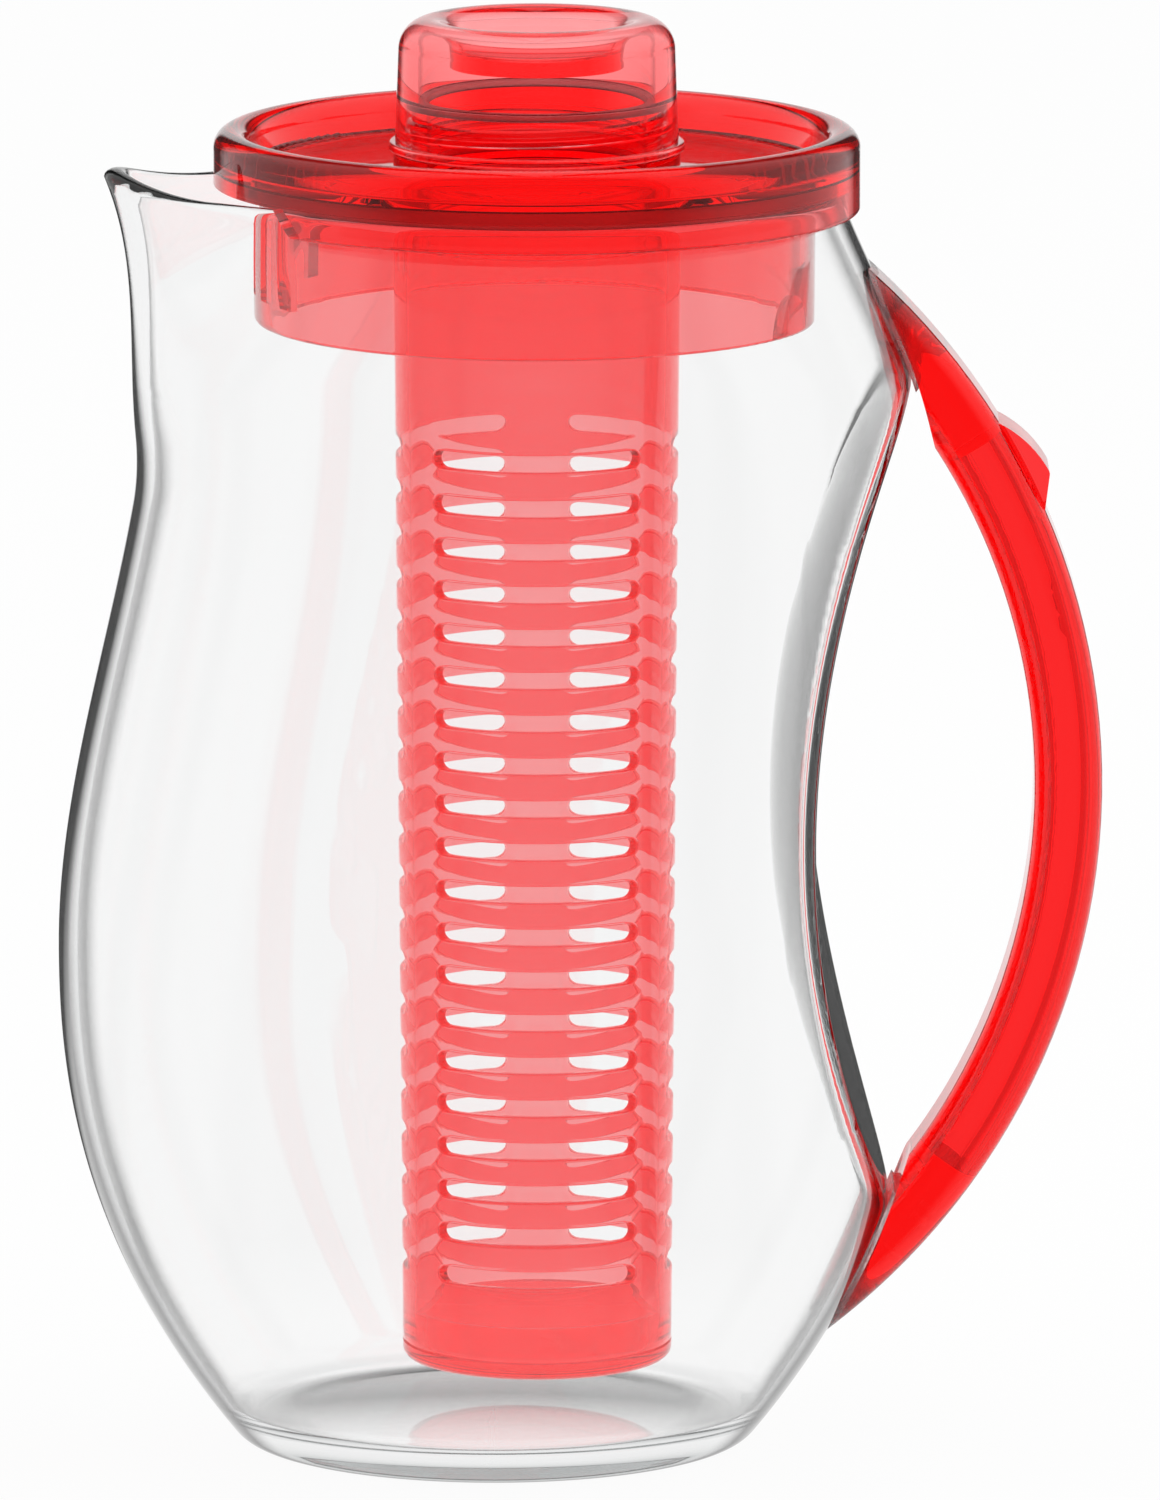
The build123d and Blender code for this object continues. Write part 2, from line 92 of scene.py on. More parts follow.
def jug_radius(height):
    """Outer radius of the jug at a height, without its spout."""
    belly = (belly_height, belly_radius, 0.0)
    shoulder = (shoulder_height, shoulder_radius, shoulder_slope)
    rim = (rim_height, rim_radius, rim_slope)
    if height <= belly_height:
        return belly_radius - (belly_radius - base_radius) * (1 - height / belly_height) ** heel_power
    if height <= shoulder_height:
        return eased_radius(height, belly, shoulder)
    if height <= rim_height:
        return eased_radius(height, shoulder, rim)
    return rim_radius + rim_slope * (height - rim_height)


def jug_axis(height):
    """How far the middle of the jug lies towards the handle at a height."""
    return mouth_offset * smooth_share((height - belly_height) / (shoulder_height - belly_height))


def soft_angle(degrees_off):
    """An angle either side of the spout in degrees, rounded off at the middle."""
    return sqrt(degrees_off**2 + spout_softness**2) - spout_softness


def round_reach(turn, height, inset):
    """From the jug's middle to its round form and spout, in a direction and at a height."""
    share = max(height - spout_root_height, 0.0) / (spout_tip_height - spout_root_height)
    draw = (spout_reach - jug_radius(spout_tip_height)) * share**spout_curve
    flank_run = spout_reach - rim_radius * cos(radians(spout_half_angle))
    flank_width = rim_radius * sin(radians(spout_half_angle))
    tip_inset = inset * hypot(flank_run, flank_width) / flank_width
    tip_draw = draw - (tip_inset - inset) * min(draw / flank_run, 1.0)
    off = soft_angle(180 - abs(turn)) / soft_angle(spout_half_angle)
    return jug_radius(height) - inset + tip_draw * max(1 - off, 0.0) ** 2


def scoop_reach(turn, height, inset):
    """From the jug's middle to the barrel of the finger scoop, in a direction and at a height."""
    floor = recess_floor - inset
    axis_x = recess_floor + recess_bow_radius
    half_width = belly_radius + wall
    sag = half_width**2 / (2 * recess_crown_radius)
    crown = (half_width**2 + sag**2) / (2 * sag)
    drop = height - recess_height
    low, high = 0.0, 2 * belly_radius
    for _ in range(26):
        reach = (low + high) / 2
        across = reach * sin(radians(turn))
        bow = axis_x - (floor + crown - sqrt(crown**2 - across**2))
        face = axis_x - sqrt(max(bow**2 - drop**2, 0.0))
        if jug_axis(height) + reach * cos(radians(turn)) < face:
            low = reach
        else:
            high = reach
    return reach


def jug_reach(turn, height, inset, lip):
    """From the jug's middle to its face, with the edge of the finger scoop rounded by lip."""
    form = round_reach(turn, height, inset)
    if abs(turn) > 60:
        return form
    scoop = scoop_reach(turn, height, inset)
    blend = max(lip - abs(form - scoop), 0.0) / lip
    return min(form, scoop) - blend * blend * lip / 4


def jug_point(turn, height, reach):
    """A point in metres at a direction, height and reach from the jug's middle."""
    along = jug_axis(height) + reach * cos(radians(turn))
    return (along * mm, reach * sin(radians(turn)) * mm, height * mm)


def rim_top(turn):
    """Height of the jug's rim in a direction: level round the mouth, sweeping up to the spout."""
    run = spout_reach - mouth_offset + spout_rise_x
    sweep = (run**2 + spout_rise**2) / (2 * spout_rise)
    height = rim_height
    for _ in range(8):
        along = jug_axis(height) + round_reach(turn, height, wall / 2) * cos(radians(turn))
        back = min(max(spout_rise_x - along, 0.0), run)
        height = rim_height + sweep - sqrt(sweep**2 - back**2)
    return height


def steps(start, end, spacing):
    """Even steps from start towards end, without the end."""
    count = max(ceil((end - start) / spacing - 1e-6), 1)
    return [start + (end - start) * step / count for step in range(count)]


def curve_between(start, corner, end, count):
    """Points on the soft curve from start to end that leans to a corner, without its ends."""
    points = []
    for step in range(1, count):
        share = step / count
        weights = ((1 - share) ** 2, 2 * share * (1 - share), share**2)
        parts = list(zip(weights, (start, corner, end)))
        points.append(tuple(sum(weight * spot[axis] for weight, spot in parts) for axis in (0, 1)))
    return points


def rings_to_mesh(name, rings):
    """A closed mesh from rings of points, shut by a single point at each end."""
    around = len(rings[1])
    verts = [rings[0][0]]
    for ring in rings[1:-1]:
        verts += ring
    verts.append(rings[-1][0])
    faces = []
    count = len(rings) - 2
    for column in range(around):
        beside = (column + 1) % around
        faces.append((0, 1 + beside, 1 + column))
        for row in range(count - 1):
            low, high = 1 + row * around, 1 + (row + 1) * around
            faces.append((low + column, low + beside, high + beside, high + column))
        last = 1 + (count - 1) * around
        faces.append((last + column, last + beside, len(verts) - 1))
    mesh = bpy.data.meshes.new(name)
    mesh.from_pydata(verts, [], faces)
    mesh.shade_smooth()
    return mesh


# Points stand closest round the finger scoop, and closer at the spout than on the plain sides
half_turns = steps(0, 48, 0.6) + steps(48, 130, 2.0) + steps(130, 180, 1.25) + [180]
turns = half_turns + [-turn for turn in reversed(half_turns[1:-1])]
rim_tops = [rim_top(turn) for turn in turns]
rim_foot = 200.0
low_rows = steps(heel_rounding, 36, 2.0) + steps(36, 62, 1.2) + steps(62, 166, 2.6)
low_rows += steps(166, 190, 1.2) + steps(190, rim_foot, 2.5)
high_rows = [step / 12 for step in range(13)]
inner_foot = floor_thickness + floor_corner


def jug_ring(height, inset, lip):
    """A level ring of the jug's outer or inner face."""
    return [jug_point(turn, height, jug_reach(turn, height, inset, lip)) for turn in turns]


def rim_ring(share, inset):
    """A ring of the jug's outer or inner face near its rim, following the rise to the spout."""
    ring = []
    for turn, top in zip(turns, rim_tops):
        height = rim_foot + (top - rim_rounding - rim_foot) * share
        ring.append(jug_point(turn, height, jug_reach(turn, height, inset, recess_lip)))
    return ring


def flat_ring(radius, height):
    """A round ring on the base or the floor of the jug."""
    return [jug_point(turn, height, radius) for turn in turns]


outer_foot = (jug_radius(heel_rounding), heel_rounding)
base_edge = (base_radius - heel_rounding, 0.0)
rings = [[(0.0, 0.0, 0.0)]]
rings += [flat_ring(base_edge[0] * share, 0.0) for share in (0.3, 0.6, 0.85, 1.0)]
rings += [flat_ring(*spot) for spot in curve_between(base_edge, (base_radius, 0.0), outer_foot, 5)]
rings += [jug_ring(height, 0.0, recess_lip) for height in low_rows]
rings += [rim_ring(share, 0.0) for share in high_rows]
rim_outside, rim_inside = rim_ring(1.0, 0.0), rim_ring(1.0, wall)
for step in range(1, 8):
    swing = pi * step / 8
    near, rise = (1 + cos(swing)) / 2, rim_rounding * sin(swing) * mm
    rings.append(
        [
            (a[0] * near + b[0] * (1 - near), a[1] * near + b[1] * (1 - near), a[2] + rise)
            for a, b in zip(rim_outside, rim_inside)
        ]
    )
rings += [rim_ring(share, wall) for share in reversed(high_rows)]
rings += [jug_ring(height, wall, recess_inner_lip) for height in reversed(low_rows) if height > inner_foot]
floor_edge = (jug_radius(floor_thickness) - wall, floor_thickness)
wall_foot = (jug_radius(inner_foot) - wall, inner_foot)
dome_edge = (floor_dome_radius + 2, floor_thickness)
rings.append(flat_ring(*wall_foot))
rings += [flat_ring(*spot) for spot in curve_between(wall_foot, floor_edge, dome_edge, 6)]
for share in (1.0, 0.92, 0.82, 0.7, 0.55, 0.4, 0.25, 0.12):
    rings.append(flat_ring(floor_dome_radius * share, floor_thickness + floor_dome * (1 - share**2)))
rings.append([(0.0, 0.0, (floor_thickness + floor_dome) * mm)])
jug_piece = bpy.data.objects.new("jug_wall", rings_to_mesh("jug_wall", rings))
bpy.context.scene.collection.objects.link(jug_piece)


def moulded_skin():
    """The faint waves and haze that a polished mould leaves on clear plastic."""
    group = bpy.data.node_groups.new("moulded_skin", "ShaderNodeTree")
    for name in ("Wave Scale", "Wave Height", "Haze", "Haze Spread"):
        group.interface.new_socket(name, in_out="INPUT", socket_type="NodeSocketFloat")
    group.interface.new_socket("Roughness", in_out="OUTPUT", socket_type="NodeSocketFloat")
    group.interface.new_socket("Normal", in_out="OUTPUT", socket_type="NodeSocketVector")
    nodes, links = group.nodes, group.links
    sizes = nodes.new("NodeGroupInput")
    place = nodes.new("ShaderNodeTexCoord")
    waves = nodes.new("ShaderNodeTexNoise")
    waves.inputs["Detail"].default_value = 1.0
    bump = nodes.new("ShaderNodeBump")
    bump.inputs["Strength"].default_value = 1.0
    haze = nodes.new("ShaderNodeTexNoise")
    haze.inputs["Scale"].default_value = 260.0
    haze.inputs["Detail"].default_value = 4.0
    spread = nodes.new("ShaderNodeMath")
    spread.operation = "MULTIPLY_ADD"
    result = nodes.new("NodeGroupOutput")
    links.new(place.outputs["Object"], waves.inputs["Vector"])
    links.new(place.outputs["Object"], haze.inputs["Vector"])
    links.new(sizes.outputs["Wave Scale"], waves.inputs["Scale"])
    links.new(waves.outputs["Fac"], bump.inputs["Height"])
    links.new(sizes.outputs["Wave Height"], bump.inputs["Distance"])
    links.new(haze.outputs["Fac"], spread.inputs[0])
    links.new(sizes.outputs["Haze Spread"], spread.inputs[1])
    links.new(sizes.outputs["Haze"], spread.inputs[2])
    links.new(spread.outputs["Value"], result.inputs["Roughness"])
    links.new(bump.outputs["Normal"], result.inputs["Normal"])
    return group


skin = moulded_skin()


def clear_plastic(name, index, inside, density, shade, glow, edge, skin_values):
    """A see-through moulded plastic. Its colour comes from the depth that light crosses inside it,
    shade is the light it lets through to the table, glow is a faint painted glow in its inside colour,
    and edge is how dark its base colour is painted where its faces are seen edge-on: painted shade on its
    outlines.
    """
    material = bpy.data.materials.new(name)
    material.use_nodes = True
    nodes, links = material.node_tree.nodes, material.node_tree.links
    body = nodes["Principled BSDF"]
    body.inputs["Base Color"].default_value = (1.0, 1.0, 1.0, 1.0)
    body.inputs["IOR"].default_value = index
    body.inputs["Transmission Weight"].default_value = 1.0
    # Emission in the part's inside colour: a painted glow, for the part is no lamp.
    body.inputs["Emission Color"].default_value = (*inside, 1.0)
    body.inputs["Emission Strength"].default_value = glow
    surface = nodes.new("ShaderNodeGroup")
    surface.node_tree = skin
    for socket, value in skin_values.items():
        surface.inputs[socket].default_value = value
    links.new(surface.outputs["Roughness"], body.inputs["Roughness"])
    links.new(surface.outputs["Normal"], body.inputs["Normal"])
    lamp_way = nodes.new("ShaderNodeBsdfTransparent")
    lamp_way.inputs["Color"].default_value = (*shade, 1.0)
    path = nodes.new("ShaderNodeLightPath")
    mix = nodes.new("ShaderNodeMixShader")
    links.new(path.outputs["Is Shadow Ray"], mix.inputs["Fac"])
    links.new(body.outputs["BSDF"], mix.inputs[1])
    links.new(lamp_way.outputs["BSDF"], mix.inputs[2])
    links.new(mix.outputs["Shader"], nodes["Material Output"].inputs["Surface"])
    # Faces seen edge-on get a darker base colour: painted shade along the outlines.
    if edge < 1.0:
        facing = nodes.new("ShaderNodeLayerWeight")
        facing.inputs["Blend"].default_value = 0.5
        rim = nodes.new("ShaderNodeMapRange")
        rim.interpolation_type = "SMOOTHSTEP"
        rim.inputs["From Min"].default_value = 0.67
        rim.inputs["From Max"].default_value = 0.81
        rim.inputs["To Min"].default_value = 1.0
        rim.inputs["To Max"].default_value = edge
        links.new(facing.outputs["Facing"], rim.inputs["Value"])
        links.new(rim.outputs["Result"], body.inputs["Base Color"])
    depth = nodes.new("ShaderNodeVolumeAbsorption")
    depth.inputs["Color"].default_value = (*inside, 1.0)
    depth.inputs["Density"].default_value = density
    links.new(depth.outputs["Volume"], nodes["Material Output"].inputs["Volume"])
    return material


# The jug's edge of 0.01 paints its outlines nearly black where they are seen edge-on: painted shade.
acrylic = clear_plastic(
    "clear_acrylic", index=1.49, inside=(0.885, 0.89, 0.89), density=80.0,
    shade=(0.94, 0.95, 0.955), glow=0.0, edge=0.01,
    skin_values={"Wave Scale": 22.0, "Wave Height": 0.00004, "Haze": 0.0, "Haze Spread": 0.01},
)
jug_piece.data.materials.append(acrylic)
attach(jug_piece, "jug")
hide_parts("jug")

# The two bond pads are thin clear layers of solvent cement between the handle's ends and the jug.
# They set with a few fine bubbles in them, and show as a pale strip along each joint.


def finish_node(node, material):
    """Gives a CAD node its finished material."""
    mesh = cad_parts[node].data
    mesh.materials.clear()
    mesh.materials.append(material)


def bond_finish():
    """Set cement: milky and clear by turns, with fine bubbles."""
    material = bpy.data.materials.new("clear_bond")
    material.use_nodes = True
    nodes, links = material.node_tree.nodes, material.node_tree.links
    body = nodes["Principled BSDF"]
    body.inputs["IOR"].default_value = 1.45
    body.inputs["Transmission Weight"].default_value = 0.92
    place = nodes.new("ShaderNodeTexCoord")
    flow = nodes.new("ShaderNodeTexNoise")
    flow.inputs["Scale"].default_value = 180.0
    flow.inputs["Detail"].default_value = 3.0
    tint = nodes.new("ShaderNodeValToRGB")
    tint.color_ramp.elements[0].color = (0.95, 0.86, 0.86, 1.0)
    tint.color_ramp.elements[1].color = (0.99, 0.97, 0.97, 1.0)
    bubbles = nodes.new("ShaderNodeTexVoronoi")
    bubbles.inputs["Scale"].default_value = 900.0
    bump = nodes.new("ShaderNodeBump")
    bump.inputs["Strength"].default_value = 0.4
    bump.inputs["Distance"].default_value = 0.0001
    haze = nodes.new("ShaderNodeMapRange")
    haze.inputs["To Min"].default_value = 0.12
    haze.inputs["To Max"].default_value = 0.35
    links.new(place.outputs["Object"], flow.inputs["Vector"])
    links.new(place.outputs["Object"], bubbles.inputs["Vector"])
    links.new(flow.outputs["Fac"], tint.inputs["Fac"])
    links.new(flow.outputs["Fac"], haze.inputs["Value"])
    links.new(tint.outputs["Color"], body.inputs["Base Color"])
    links.new(haze.outputs["Result"], body.inputs["Roughness"])
    links.new(bubbles.outputs["Distance"], bump.inputs["Height"])
    links.new(bump.outputs["Normal"], body.inputs["Normal"])
    return material


bond = bond_finish()
finish_node("upper_handle_pad", bond)
finish_node("lower_handle_pad", bond)

# The handle is two red see-through mouldings, a channel and the cover that closes it on the finger side.
# They are welded to each other and bonded to the jug, and their thick walls make the deepest red.
# The red parts below get a faint painted glow from glow, and all but the tube get painted shade on their
# outlines from edge.
red_index = 1.4
red_inside = (1.0, 0.0, 0.02)
red_shade = (0.92, 0.35, 0.36)
handle_red = clear_plastic(
    "handle_red", index=red_index, inside=red_inside, density=860.0, shade=red_shade, glow=0.0, edge=0.4,
    skin_values={"Wave Scale": 45.0, "Wave Height": 0.00003, "Haze": 0.0, "Haze Spread": 0.03},
)
finish_node("handle_shell", handle_red)
finish_node("handle_cover", handle_red)

# The thumb rest is a low red ramp, moulded apart and let into a pocket in the back of the handle.
thumb_red = clear_plastic(
    "thumb_red", index=red_index, inside=red_inside, density=240.0, shade=red_shade, glow=0.01, edge=0.5,
    skin_values={"Wave Scale": 60.0, "Wave Height": 0.00003, "Haze": 0.02, "Haze Spread": 0.05},
)
finish_node("thumb_rest", thumb_red)

# The lid is one red moulding: rolled rim, dished plate, lip outside the mouth, plug skirt inside it,
# and a threaded neck and spigot. It drops into the jug's mouth and is held by its own weight.
lid_red = clear_plastic(
    "lid_red", index=red_index, inside=red_inside, density=540.0, shade=red_shade, glow=0.006, edge=0.25,
    skin_values={"Wave Scale": 40.0, "Wave Height": 0.00003, "Haze": 0.0, "Haze Spread": 0.02},
)
finish_node("lid", lid_red)

# The gasket is a soft ring of milky silicone in the lid's groove, pressed on the jug's rim.


def silicone_finish():
    """Soft milky rubber: pale, a little mottled, with a matt skin."""
    material = bpy.data.materials.new("clear_silicone")
    material.use_nodes = True
    nodes, links = material.node_tree.nodes, material.node_tree.links
    body = nodes["Principled BSDF"]
    body.inputs["IOR"].default_value = 1.41
    body.inputs["Transmission Weight"].default_value = 0.7
    place = nodes.new("ShaderNodeTexCoord")
    mottle = nodes.new("ShaderNodeTexNoise")
    mottle.inputs["Scale"].default_value = 120.0
    mottle.inputs["Detail"].default_value = 5.0
    tint = nodes.new("ShaderNodeValToRGB")
    tint.color_ramp.elements[0].color = (0.82, 0.82, 0.81, 1.0)
    tint.color_ramp.elements[1].color = (0.95, 0.95, 0.94, 1.0)
    haze = nodes.new("ShaderNodeMapRange")
    haze.inputs["To Min"].default_value = 0.25
    haze.inputs["To Max"].default_value = 0.5
    bump = nodes.new("ShaderNodeBump")
    bump.inputs["Strength"].default_value = 0.3
    bump.inputs["Distance"].default_value = 0.00005
    links.new(place.outputs["Object"], mottle.inputs["Vector"])
    links.new(mottle.outputs["Fac"], tint.inputs["Fac"])
    links.new(mottle.outputs["Fac"], haze.inputs["Value"])
    links.new(mottle.outputs["Fac"], bump.inputs["Height"])
    links.new(tint.outputs["Color"], body.inputs["Base Color"])
    links.new(haze.outputs["Result"], body.inputs["Roughness"])
    links.new(bump.outputs["Normal"], body.inputs["Normal"])
    return material


silicone = silicone_finish()
finish_node("lid_gasket", silicone)

# The knob is a hollow red cap with a thumb dish in its top and a bead round its foot.
# It screws on the lid's neck, and the tube is filled through the neck with the knob off.
knob_red = clear_plastic(
    "knob_red", index=red_index, inside=red_inside, density=180.0, shade=red_shade, glow=0.02, edge=0.25,
    skin_values={"Wave Scale": 50.0, "Wave Height": 0.00003, "Haze": 0.0, "Haze Spread": 0.02},
)
finish_node("knob", knob_red)

# The knob's washer is a soft silicone ring pinched between the knob and the top of the neck.
finish_node("knob_washer", silicone)

# The infuser tube is red, of even wall, a little narrower at its foot, with three columns of level
# slots whose edges are softened. It screws on the spigot under the lid by a thread inside its top.
tube_radius = 25.35
tube_foot_radius = 23.9
tube_wall = 2.2
tube_top = 224.2
tube_bottom = 18.0
slot_rows = 20
slot_columns = 3
slot_pitch = 7.64
slot_height = 3.0
slot_span = 35.5
slot_top_drop = 46.2
slot_softening = 0.45
tube_edge = 0.5
thread_start = 217.15
thread_pitch = 3.5
thread_ridge = 0.85
thread_base = 1.6
thread_crest = 0.8
column_turn = 360 / slot_columns
slot_middle_radius = (tube_radius + tube_foot_radius) / 2
slot_end = degrees(asin(slot_span / 2 / slot_middle_radius)) / column_turn
slot_nose = degrees(slot_height / 2 / slot_middle_radius) * 1.4 / column_turn
slot_straight = slot_end - slot_nose
cell_edge = 0.44
first_slot = tube_top - slot_top_drop - slot_pitch * (slot_rows - 1)
straight_steps = 16
nose_turns = (67.5, 45.0, 22.5, 0.0, -22.5, -45.0, -67.5)


def slot_top():
    """Even steps across the straight part of a slot."""
    return [-slot_straight + 2 * slot_straight * step / straight_steps for step in range(straight_steps + 1)]


def slot_loop(growth, depth):
    """The outline of one slot, grown by growth, at a depth in the wall from 0 inside to 1 outside."""
    half = slot_height / 2 + growth
    nose = slot_nose * half / (slot_height / 2)
    top = slot_top()
    tip = [(slot_straight + nose * cos(radians(t)), half * sin(radians(t))) for t in nose_turns]
    loop = [(across, depth, half) for across in top]
    loop += [(across, depth, height) for across, height in tip]
    loop += [(across, depth, -half) for across in reversed(top)]
    loop += [(-across, depth, height) for across, height in reversed(tip)]
    return loop


def cell_loop(depth):
    """The edge of the patch of wall round one slot, point for point beside the slot's outline."""
    half = slot_pitch / 2
    beside = (slot_end + cell_edge) / 2
    top = slot_top()
    side = [(beside, half), (cell_edge, half), (cell_edge, half * 0.4), (cell_edge, 0.0)]
    side += [(across, -height) for across, height in reversed(side[:3])]
    loop = [(across, depth, half) for across in top]
    loop += [(across, depth, height) for across, height in side]
    loop += [(across, depth, -half) for across in reversed(top)]
    loop += [(-across, depth, height) for across, height in reversed(side)]
    return loop


def slot_cell():
    """One slot with its patch of wall, flat: across in shares of a column, depth in shares of the wall."""
    softening = slot_softening / tube_wall
    loops = [cell_loop(1.0)]
    for swing in (0, 30, 60, 90):
        growth = slot_softening * (1 - sin(radians(swing)))
        loops.append(slot_loop(growth, 1 - softening * (1 - cos(radians(swing)))))
    for swing in (90, 60, 30, 0):
        growth = slot_softening * (1 - sin(radians(swing)))
        loops.append(slot_loop(growth, softening * (1 - cos(radians(swing)))))
    loops.append(cell_loop(0.0))
    around = len(loops[0])
    verts = [point for loop in loops for point in loop]
    faces = []
    for row in range(len(loops) - 1):
        for column in range(around):
            beside = (column + 1) % around
            low, high = row * around, (row + 1) * around
            faces.append((low + column, low + beside, high + beside, high + column))
    # The plain strip between this column and the next one
    half = slot_pitch / 2
    heights = (-half, -half * 0.4, 0.0, half * 0.4, half)
    for depth in (1.0, 0.0):
        start = len(verts)
        for step in range(5):
            across = cell_edge + (1 - 2 * cell_edge) * step / 4
            verts += [(across, depth, height) for height in heights]
        for step in range(4):
            for row in range(4):
                corner = start + step * 5 + row
                faces.append((corner, corner + 5, corner + 6, corner + 1))
    return [(a, d, (h + first_slot) * mm) for a, d, h in verts], faces


def plain_band(profile):
    """A plain band of wall for one column, from its profile of (depth, height) points."""
    top = [point[0] for point in cell_loop(1.0) if point[2] > slot_pitch / 2 - 1e-6]
    across = sorted(top) + [cell_edge + (1 - 2 * cell_edge) * step / 4 for step in range(1, 5)]
    verts = [(a, depth, height * mm) for a in across for depth, height in profile]
    count = len(profile)
    faces = []
    for column in range(len(across) - 1):
        for row in range(count - 1):
            corner = column * count + row
            faces.append((corner, corner + count, corner + count + 1, corner + 1))
    return verts, faces


edge = tube_edge / tube_wall
band_foot = first_slot + slot_pitch * (slot_rows - 0.5)
thread_foot = 216.0
thread_rows = [thread_foot + 0.4 * step for step in range(15)]
top_profile = [(1.0, height) for height in steps(band_foot, tube_top - tube_edge, 6.0)]
edge_middle = 0.3
top_profile += [(1.0, tube_top - tube_edge), (1 - edge * edge_middle, tube_top - tube_edge * edge_middle)]
top_profile += [(1 - edge, tube_top), (edge, tube_top)]
top_profile += [(edge * edge_middle, tube_top - tube_edge * edge_middle), (0.0, tube_top - tube_edge)]
top_profile += [(0.0, height) for height in reversed(thread_rows)]
top_profile += [(0.0, height) for height in reversed(steps(band_foot, thread_rows[0], 6.0))]
band_top = first_slot - slot_pitch / 2
foot_profile = [(1.0, band_top), (1.0, tube_bottom + 2), (1.0, tube_bottom + tube_edge)]
foot_profile += [(1 - edge, tube_bottom), (0.2, tube_bottom), (0.0, tube_bottom + 0.3), (0.0, band_top)]

flat_verts, flat_faces = slot_cell()
slot_count = len(flat_verts)
for profile in (top_profile, foot_profile):
    band_verts, band_faces = plain_band(profile)
    start = len(flat_verts)
    flat_verts += band_verts
    flat_faces += [tuple(start + corner for corner in face) for face in band_faces]
flat_wall = bpy.data.meshes.new("flat_wall")
flat_wall.from_pydata(flat_verts, [], flat_faces)
band_mark = flat_wall.attributes.new("plain_band", "BOOLEAN", "POINT")
band_mark.data.foreach_set("value", [index >= slot_count for index in range(len(flat_verts))])


def number_node(tree, operation, *values):
    """A number worked out from others in a node tree."""
    node = tree.nodes.new("ShaderNodeMath")
    node.operation = operation
    for socket, value in zip(node.inputs, values):
        if isinstance(value, (int, float)):
            socket.default_value = value
        else:
            tree.links.new(value, socket)
    return node.outputs["Value"]


